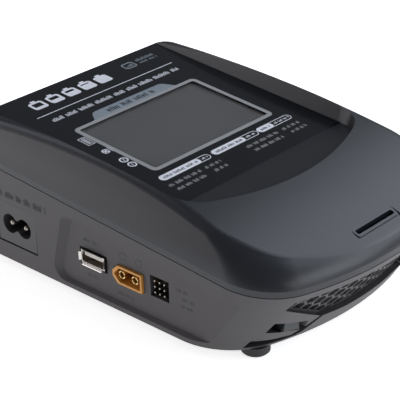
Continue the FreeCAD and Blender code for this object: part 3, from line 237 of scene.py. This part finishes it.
# colour, the colour it drifts to, roughness from and to, then the grain's scale
METALS = {
    "screw_steel": ((0.50, 0.50, 0.51), (0.50, 0.50, 0.51), (0.25, 0.40)),
    "copper_wire": ((0.60, 0.22, 0.09), (0.66, 0.26, 0.11), (0.22, 0.34), 1500),
    "sink_aluminium": ((0.66, 0.67, 0.68), (0.66, 0.67, 0.68), (0.28, 0.42), 900),
    "pin_metal": ((0.40, 0.37, 0.32), (0.40, 0.37, 0.32), (0.30, 0.42)),
    "usb_metal": ((0.74, 0.71, 0.68), (0.66, 0.63, 0.60), (0.20, 0.32), 1400),
    "gold_contact": ((0.72, 0.53, 0.24), (0.72, 0.53, 0.24), (0.20, 0.32)),
}
MATERIALS = {name: plastic(name, *look) for name, look in PLASTICS.items()}
MATERIALS.update({name: metal(name, *look) for name, look in METALS.items()})
MATERIALS["screen_glass"] = glass("screen_glass", (0.80, 0.80, 0.81), 0.10)
MATERIALS["fuse_glass"] = glass("fuse_glass", (0.85, 0.88, 0.88), 0.05)

LABEL_SPECULAR = 0.36
label_shader = MATERIALS["label_film"].node_tree.nodes["Principled BSDF"]
label_shader.inputs["Specular IOR Level"].default_value = LABEL_SPECULAR

for part in frame["record"]["subparts"]:
    item = frame["nodes"][part["node"]]
    item.data.materials.clear()
    item.data.materials.append(MATERIALS[part["material_slot"]])


# ---------------------------------------------------------------- mesh tools

def add_piece(name, bm, slot, finish=None):
    """Turns a bmesh into a flat-shaded piece that rides on the case, in its slot's own material
    or in another finish."""
    bmesh.ops.recalc_face_normals(bm, faces=bm.faces)
    mesh = bpy.data.meshes.new(name)
    bm.to_mesh(mesh)
    bm.free()
    mesh.materials.append(MATERIALS[finish or slot])
    piece = bpy.data.objects.new(name, mesh)
    bpy.context.scene.collection.objects.link(piece)
    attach(piece, "case")
    return piece


def rectangle(x0, y0, x1, y1):
    """A rectangle's outline."""
    return [(x0, y0), (x1, y0), (x1, y1), (x0, y1)]


def rounded(x0, y0, x1, y1, radius):
    """A rectangle's outline with rounded corners."""
    steps = 6
    points = []
    for cx, cy, start in ((x1 - radius, y1 - radius, 0), (x0 + radius, y1 - radius, 90),
                          (x0 + radius, y0 + radius, 180), (x1 - radius, y0 + radius, 270)):
        for step in range(steps + 1):
            turn = math.radians(start + 90 * step / steps)
            points.append((cx + radius * math.cos(turn), cy + radius * math.sin(turn)))
    return points


def circle(cx, cy, radius):
    """A circle's outline."""
    steps = 24
    turns = [2 * math.pi * step / steps for step in range(steps)]
    return [(cx + radius * math.cos(turn), cy + radius * math.sin(turn)) for turn in turns]


def slab(bm, outline, place, low, high):
    """A flat plate on an outline, from one height to another above a surface."""
    bottom = [bm.verts.new(place(x, y, low)) for x, y in outline]
    top = [bm.verts.new(place(x, y, high)) for x, y in outline]
    bm.faces.new(top)
    bm.faces.new(bottom[::-1])
    for index in range(len(outline)):
        after = (index + 1) % len(outline)
        bm.faces.new((bottom[index], bottom[after], top[after], top[index]))


def band(bm, outer, inner, place, low, high):
    """A flat frame between two outlines that have the same number of points."""
    rings = [[bm.verts.new(place(x, y, h)) for x, y in line]
             for line, h in ((outer, low), (outer, high), (inner, high), (inner, low))]
    for ring, other in zip(rings, rings[1:] + rings[:1]):
        for index in range(len(ring)):
            after = (index + 1) % len(ring)
            bm.faces.new((ring[index], ring[after], other[after], other[index]))


def microprint(bm, place, x0, x1, y, height, low, high, seed, stroke, words):
    """A line of generic small marks: groups of upright strokes that spell nothing.

    The strokes differ in height, every third one has a short bar, and words gives the number of
    strokes in each group. The seed only shifts the pattern.
    """
    shortest, rhythm = 0.62, 2.3
    pitch, bar_level, bar_thickness, word_gap = 2.1, 0.42, 0.8, 0.55
    x, index, word = x0, seed, seed
    left = words[word % len(words)]
    base = y - height / 2
    while x < x1 - stroke:
        tall = height * (shortest + (1 - shortest) * abs(math.sin(rhythm * index + seed)))
        slab(bm, rectangle(x, base, x + stroke, base + tall), place, low, high)
        if index % 3 == 0:
            bar = base + tall * bar_level
            bar_end, bar_top = x + pitch * stroke, bar + stroke * bar_thickness
            slab(bm, rectangle(x, bar, bar_end, bar_top), place, low, high)
        x += stroke * pitch
        left -= 1
        index += 1
        if left == 0:
            word += 1
            left = words[word % len(words)]
            x += height * word_gap


# ---------------------------------------------------------------- the printed deck

def corners(box, unit=1.0):
    """The low and the high corner of a CAD node's box, in metres or in another unit."""
    low, high = box
    return Vector(low) / unit, Vector(high) / unit


label_low, label_high = corners(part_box("label_overlay"))
touch_low, touch_high = corners(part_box("touch_panel"))
FILM = 0.3 * MM
label_span = label_high - label_low
TILT = math.atan2(label_span.z - FILM, label_span.y)
ALONG = Vector((0, math.cos(TILT), math.sin(TILT)))
ACROSS = Vector((1, 0, 0))
UP = Vector((0, -math.sin(TILT), math.cos(TILT)))
touch_middle = (touch_low + touch_high) / 2
label_middle = (label_low + label_high) / 2
DECK = touch_middle + UP * (label_middle - touch_middle).dot(UP)


def on_deck(x, y, h):
    """A point on the deck: mm right and rearward of the screen's centre, and above the label."""
    return DECK + (ACROSS * x + ALONG * y + UP * (h + FILM / MM / 2)) * MM


# mm above the label: ink starts a little inside it; marks on ink start at the thin ink's height
INK_LOW, INK_THIN, INK_HIGH = -0.02, 0.025, 0.035


def ink(bm, outline):
    """A filled area printed on the deck."""
    slab(bm, outline, on_deck, INK_LOW, INK_HIGH)


def ink_ring(bm, outer, inner, high=INK_HIGH):
    """An outline printed on the deck."""
    band(bm, outer, inner, on_deck, INK_LOW, high)


def small_print(bm, x0, x1, y, height, seed, stroke, words, low=INK_LOW, high=INK_HIGH):
    """Generic small marks printed on the deck."""
    microprint(bm, on_deck, x0, x1, y, height, low, high, seed, stroke, words)


def screen_border():
    """The grey frame printed round the screen's view."""
    outer_x, outer_y, outer_radius = 36.7, 23.9, 2.6
    view_x, view_y, view_radius = 34.6, 21.9, 1.0
    bm = bmesh.new()
    ink_ring(bm, rounded(-outer_x, -outer_y, outer_x, outer_y, outer_radius),
             rounded(-view_x, -view_y, view_x, view_y, view_radius), high=0.05)
    add_piece("screen_border", bm, "print_tint", finish="border_ink")


def screen_tab():
    """The tab that stands on the frame's rear edge, with dark marks on it."""
    outline = [(-25.4, 23.6), (26.8, 23.6), (25.4, 24.2), (23.4, 27.4), (22.4, 29.0), (20.8, 29.8),
               (-18.2, 29.9), (-20.0, 29.3), (-21.4, 27.6), (-23.4, 24.4)]
    bm = bmesh.new()
    ink(bm, outline)
    add_piece("screen_tab", bm, "print_tint")
    bm = bmesh.new()
    small_print(bm, x0=-13.6, x1=15.0, y=26.9, height=3.2, seed=3, stroke=0.55, words=(6, 5, 7),
                low=INK_THIN, high=0.065)
    add_piece("screen_tab_marks", bm, "label_film")


def charge_gauges():
    """Five bold cell symbols, each one fuller than the last."""
    count, first_x, y, step = 5, -35.4, 47.0, 9.55
    wide, tall, wall = 7.4, 6.6, 1.25
    radius, inner_radius = 1.4, 0.5
    cap_half, cap_tall, cap_radius = 1.3, 1.3, 0.4
    overlap = 0.1
    bm = bmesh.new()
    for index in range(count):
        x = first_x + index * step
        ink_ring(bm, rounded(x, y, x + wide, y + tall, radius),
                 rounded(x + wall, y + wall, x + wide - wall, y + tall - wall, inner_radius))
        middle, top = x + wide / 2, y + tall
        ink(bm, rounded(middle - cap_half, top, middle + cap_half, top + cap_tall, cap_radius))
        level = (tall - 2 * wall) * (index + 1) / count
        ink(bm, rectangle(x + wall - overlap, y + wall - overlap,
                          x + wide - wall + overlap, y + wall + level))
    add_piece("charge_gauges", bm, "print_ink")


def deck_lines():
    """A thin rule under the gauges, and a line of marks under that."""
    bm = bmesh.new()
    ink(bm, rectangle(-40.3, 41.2, 41.5, 41.65))
    small_print(bm, x0=-36.9, x1=39.4, y=35.6, height=2.7, seed=1, stroke=0.42, words=(11, 7, 7, 9))
    add_piece("deck_lines", bm, "print_ink")


def deck_badge():
    """A round-cornered badge with four bars and two short lines, in a dimmer ink."""
    bars, first_x, foot, pitch, wide, shortest, rise = 4, 22.95, 51.0, 1.1, 0.6, 0.9, 0.5
    bm = bmesh.new()
    ink_ring(bm, rounded(21.4, 49.6, 28.4, 55.0, 1.6), rounded(22.1, 50.3, 27.7, 54.3, 1.1))
    for step in range(bars):
        x = first_x + step * pitch
        ink(bm, rectangle(x, foot, x + wide, foot + shortest + rise * step))
    small_print(bm, x0=30.6, x1=41.6, y=54.0, height=2.1, seed=2, stroke=0.36, words=(20,))
    small_print(bm, x0=30.6, x1=41.6, y=51.1, height=1.5, seed=4, stroke=0.30, words=(8, 6))
    add_piece("deck_badge", bm, "print_tint")


def side_symbols():
    """Plain symbols down the left of the screen: a list, a crossed ring with a bar, and two dials."""
    bm = bmesh.new()
    ink_ring(bm, rectangle(-41.0, 9.4, -37.2, 16.4), rectangle(-40.7, 9.7, -37.5, 16.1))
    rows, first_row, row_pitch, row_tall, row_indent = 7, 10.4, 0.78, 0.36, 0.3
    for step in range(rows):
        y = first_row + step * row_pitch
        ink(bm, rectangle(-40.1, y, -38.0 - row_indent * (step % 2), y + row_tall))

    ring_x, ring_y, half_long, half_wide = -39.3, 1.4, 1.9, 0.3
    for turn in (45, 135):
        cosine, sine = math.cos(math.radians(turn)), math.sin(math.radians(turn))
        ink(bm, [(ring_x + cosine * u - sine * v, ring_y + sine * u + cosine * v)
                 for u, v in rectangle(-half_long, -half_wide, half_long, half_wide)])
    ink_ring(bm, circle(ring_x, ring_y, 1.7), circle(ring_x, ring_y, 1.25))
    ink(bm, rectangle(-36.9, -0.4, -36.2, 3.4))

    dial_x, dial_radius, dial_inner, hand = -39.0, 2.0, 1.35, 0.8
    for y in (-8.6, -13.4):
        ink_ring(bm, circle(dial_x, y, dial_radius), circle(dial_x, y, dial_inner))
        ink(bm, rectangle(dial_x - 0.2, y - hand, dial_x + 0.2, y + hand))
    add_piece("side_symbols", bm, "print_ink")


def pills():
    """Three capsule-shaped fields, each with a filled part and an outlined part."""
    y, half, line = -29.5, 2.0, 0.35
    radius, inner_radius = half - 0.05, half - 0.4
    overlap = 2.4
    fields = ((-39.8, -16.8, -11.0), (-9.2, 10.4, 18.7), (19.1, 28.5, 40.2))
    light, dark = bmesh.new(), bmesh.new()
    for index, (start, split, end) in enumerate(fields):
        ink(light, rounded(start, y - half, split, y + half, radius))
        back = split - overlap
        outer = rounded(back, y - half, end, y + half, radius)
        inner = rounded(back + line, y - half + line, end - line, y + half - line, inner_radius)
        ink_ring(light, outer, inner, high=INK_THIN)
        small_print(dark, x0=start + 2.0, x1=split - 1.4, y=y, height=1.7, seed=index + 1, stroke=0.38,
                    words=(5, 6, 8), low=INK_THIN, high=0.06)
        small_print(light, x0=split + 1.2, x1=end - 1.3, y=y, height=1.3, seed=index, stroke=0.32,
                    words=(3, 4))
    add_piece("pills", light, "print_ink")
    add_piece("pill_marks", dark, "label_film")


def deck_notes():
    """Small two-line notes below the pills, each line in two blocks."""
    height, stroke = 1.9, 0.26
    blocks = ((-40.9, -22.6, -20.4, -11.0), (5.3, 25.0, 27.6, 39.1))
    bm = bmesh.new()
    for index, (x0, x1, x2, x3) in enumerate(blocks):
        for row, y in enumerate((-35.4, -39.4)):
            small_print(bm, x0 + 0.6 * row, x1 - 1.5 * row, y, height, 2 * index + row + 1, stroke,
                        words=(6, 5, 7), high=INK_THIN)
            small_print(bm, x2 + 0.4 + 1.2 * row, x3, y, height, index + row, stroke,
                        words=(3, 4), high=INK_THIN)
    add_piece("deck_notes", bm, "print_tint", finish="border_ink")


screen_border()
screen_tab()
charge_gauges()
deck_lines()
deck_badge()
side_symbols()
pills()
deck_notes()


# ---------------------------------------------------------------- the sides

WALL_X = corners(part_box("bottom_case"))[1].x
RECESS_X = WALL_X - 2.4 * MM


def on_side(side, face):
    """A placing function for one side: mm towards the rear, mm up, and mm out from a face."""
    def place(y, z, h):
        return Vector((side * (face + h * MM), y * MM, z * MM))
    return place


CAPTION_LOW, CAPTION_HIGH = -0.03, 0.04


def left_captions(bm):
    """Faint upright strokes where the left side's ports are named, and two plain marks."""
    wall, recess = on_side(-1, WALL_X), on_side(-1, RECESS_X)

    def caption(face, y_rear, y_front, z, height, seed, stroke):
        def mirrored(u, v, h):
            return face(-u, v, h)
        microprint(bm, mirrored, -y_rear, -y_front, z, height, CAPTION_LOW, CAPTION_HIGH, seed, stroke,
                   words=(3, 4, 5))

    caption(wall, y_rear=70.5, y_front=39.0, z=35.6, height=3.0, seed=1, stroke=0.5)
    caption(recess, y_rear=20.4, y_front=10.8, z=28.8, height=1.9, seed=2, stroke=0.4)
    caption(recess, y_rear=18.6, y_front=12.3, z=13.3, height=1.9, seed=3, stroke=0.4)
    caption(recess, y_rear=1.7, y_front=-7.6, z=11.2, height=1.7, seed=2, stroke=0.34)
    caption(recess, y_rear=-30.5, y_front=-36.7, z=24.4, height=1.7, seed=4, stroke=0.34)
    caption(recess, y_rear=-33.6, y_front=-40.4, z=21.2, height=1.7, seed=1, stroke=0.34)
    caption(recess, y_rear=-33.0, y_front=-39.6, z=18.0, height=1.7, seed=3, stroke=0.34)
    band(bm, rectangle(-3.9, 26.6, -0.3, 30.0), rectangle(-3.5, 27.0, -0.7, 29.6), recess,
         CAPTION_LOW, CAPTION_HIGH)
    band(bm, circle(-10.8, 28.2, 1.9), circle(-10.8, 28.2, 1.5), recess, CAPTION_LOW, CAPTION_HIGH)


def right_captions(bm):
    """The generic plus and minus over the output plug, and a dot for each pin of each socket."""
    recess = on_side(1, RECESS_X)
    reach, half_wide, gap = 1.6, 0.3, 3.4
    for name, positive in (("output_shell_red", True), ("output_shell_black", False)):
        low, high = corners(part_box(name), MM)
        y, z = (low.y + high.y) / 2, high.z + gap
        slab(bm, rectangle(y - reach, z - half_wide, y + reach, z + half_wide), recess,
             CAPTION_LOW, CAPTION_HIGH)
        if positive:
            slab(bm, rectangle(y - half_wide, z - reach, y + half_wide, z + reach), recess,
                 CAPTION_LOW, CAPTION_HIGH + 0.01)

    dot_pitch, dot_gap, dot_half_wide, dot_half_tall, rows_part_at = 1.1, 1.1, 0.28, 0.45, 21
    for count in range(3, 8):
        low, high = corners(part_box(f"balance_socket_{count}pin"), MM)
        z = high.z + dot_gap if low.z > rows_part_at else low.z - dot_gap
        middle = (low.y + high.y) / 2
        for dot in range(count):
            y = middle + (dot - (count - 1) / 2) * dot_pitch
            outline = rectangle(y - dot_half_wide, z - dot_half_tall,
                                y + dot_half_wide, z + dot_half_tall)
            slab(bm, outline, recess, CAPTION_LOW, CAPTION_HIGH)


def side_captions():
    """Both sides' captions, as one piece in a tone close to the case's."""
    bm = bmesh.new()
    left_captions(bm)
    right_captions(bm)
    add_piece("side_captions", bm, "inlet_plastic", finish="caption_tone")


def usb_lips():
    """The flared lips round the USB mouth, open at the corners."""
    low, high = corners(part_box("usb_shell"), MM)
    wall, flare, out, corner = 0.32, 0.75, 0.9, 1.0
    # mm along the shell from its mouth, and mm inward from its outer surface
    profile = [(0.4, wall - 0.06), (0.0, wall - 0.03), (-0.25, wall - 0.12), (-out, wall - flare),
               (-out - 0.12, wall - flare - 0.22), (-0.35, -0.10), (0.0, 0.03), (0.4, 0.06)]
    bm = bmesh.new()

    def lip(start, end, away):
        """A bent strip along one side of the mouth, from start to end."""
        rows = [[bm.verts.new((Vector((low.x + along, y, z))
                               + Vector((0, -away[0], -away[1])) * inward) * MM)
                 for along, inward in profile]
                for y, z in (start, end)]
        for index in range(len(profile)):
            after = (index + 1) % len(profile)
            bm.faces.new((rows[0][index], rows[0][after], rows[1][after], rows[1][index]))
        bm.faces.new(rows[0])
        bm.faces.new(rows[1][::-1])

    lip((low.y + corner, low.z), (high.y - corner, low.z), away=(0, -1))
    lip((low.y + corner, high.z), (high.y - corner, high.z), away=(0, 1))
    lip((low.y, low.z + corner), (low.y, high.z - corner), away=(-1, 0))
    lip((high.y, low.z + corner), (high.y, high.z - corner), away=(1, 0))
    add_piece("usb_lips", bm, "usb_metal")


def usb_contacts():
    """The four contact strips under the USB tongue."""
    shell_low, shell_high = corners(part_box("usb_shell"), MM)
    low, high = corners(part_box("usb_tongue"), MM)
    pitch, half_wide, setback, reach = 2.3, 0.5, 0.8, 8.0
    under = (shell_low.z + shell_high.z) / 2 + 0.1
    middle = (low.y + high.y) / 2

    def below(x, y, h):
        return Vector((x, y, under - h)) * MM

    bm = bmesh.new()
    for step in (-1.5, -0.5, 0.5, 1.5):
        y = middle + step * pitch
        strip = rectangle(low.x + setback, y - half_wide, low.x + reach, y + half_wide)
        slab(bm, strip, below, -0.02, 0.12)
    add_piece("usb_contacts", bm, "gold_contact")


def split_contacts():
    """The DC plug's two round contacts, with their tips split in four."""
    low, high = corners(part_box("dc_plug_pins"), MM)
    radius = (high.z - low.z) / 2
    z = (high.z + low.z) / 2
    split, ring, first_turn, quarter_turn, steps = 5.0, 0.5, 11, 68, 6

    def inward(y, z, h):
        return Vector((low.x + h, y, z)) * MM

    bm = bmesh.new()
    for y in (low.y + radius, high.y - radius):
        for quarter in range(4):
            start = 90 * quarter + first_turn
            turns = [math.radians(start + quarter_turn * step / steps) for step in range(steps + 1)]
            outer = [(y + radius * math.cos(turn), z + radius * math.sin(turn)) for turn in turns]
            inner = [(y + (radius - ring) * math.cos(turn), z + (radius - ring) * math.sin(turn))
                     for turn in reversed(turns)]
            slab(bm, outer + inner, inward, 0.0, split)
        slab(bm, circle(y, z, radius), inward, split, high.x - low.x)
    piece = add_piece("dc_plug_contacts", bm, "gold_contact")
    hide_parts("dc_plug_pins")


side_captions()
usb_lips()
usb_contacts()
split_contacts()
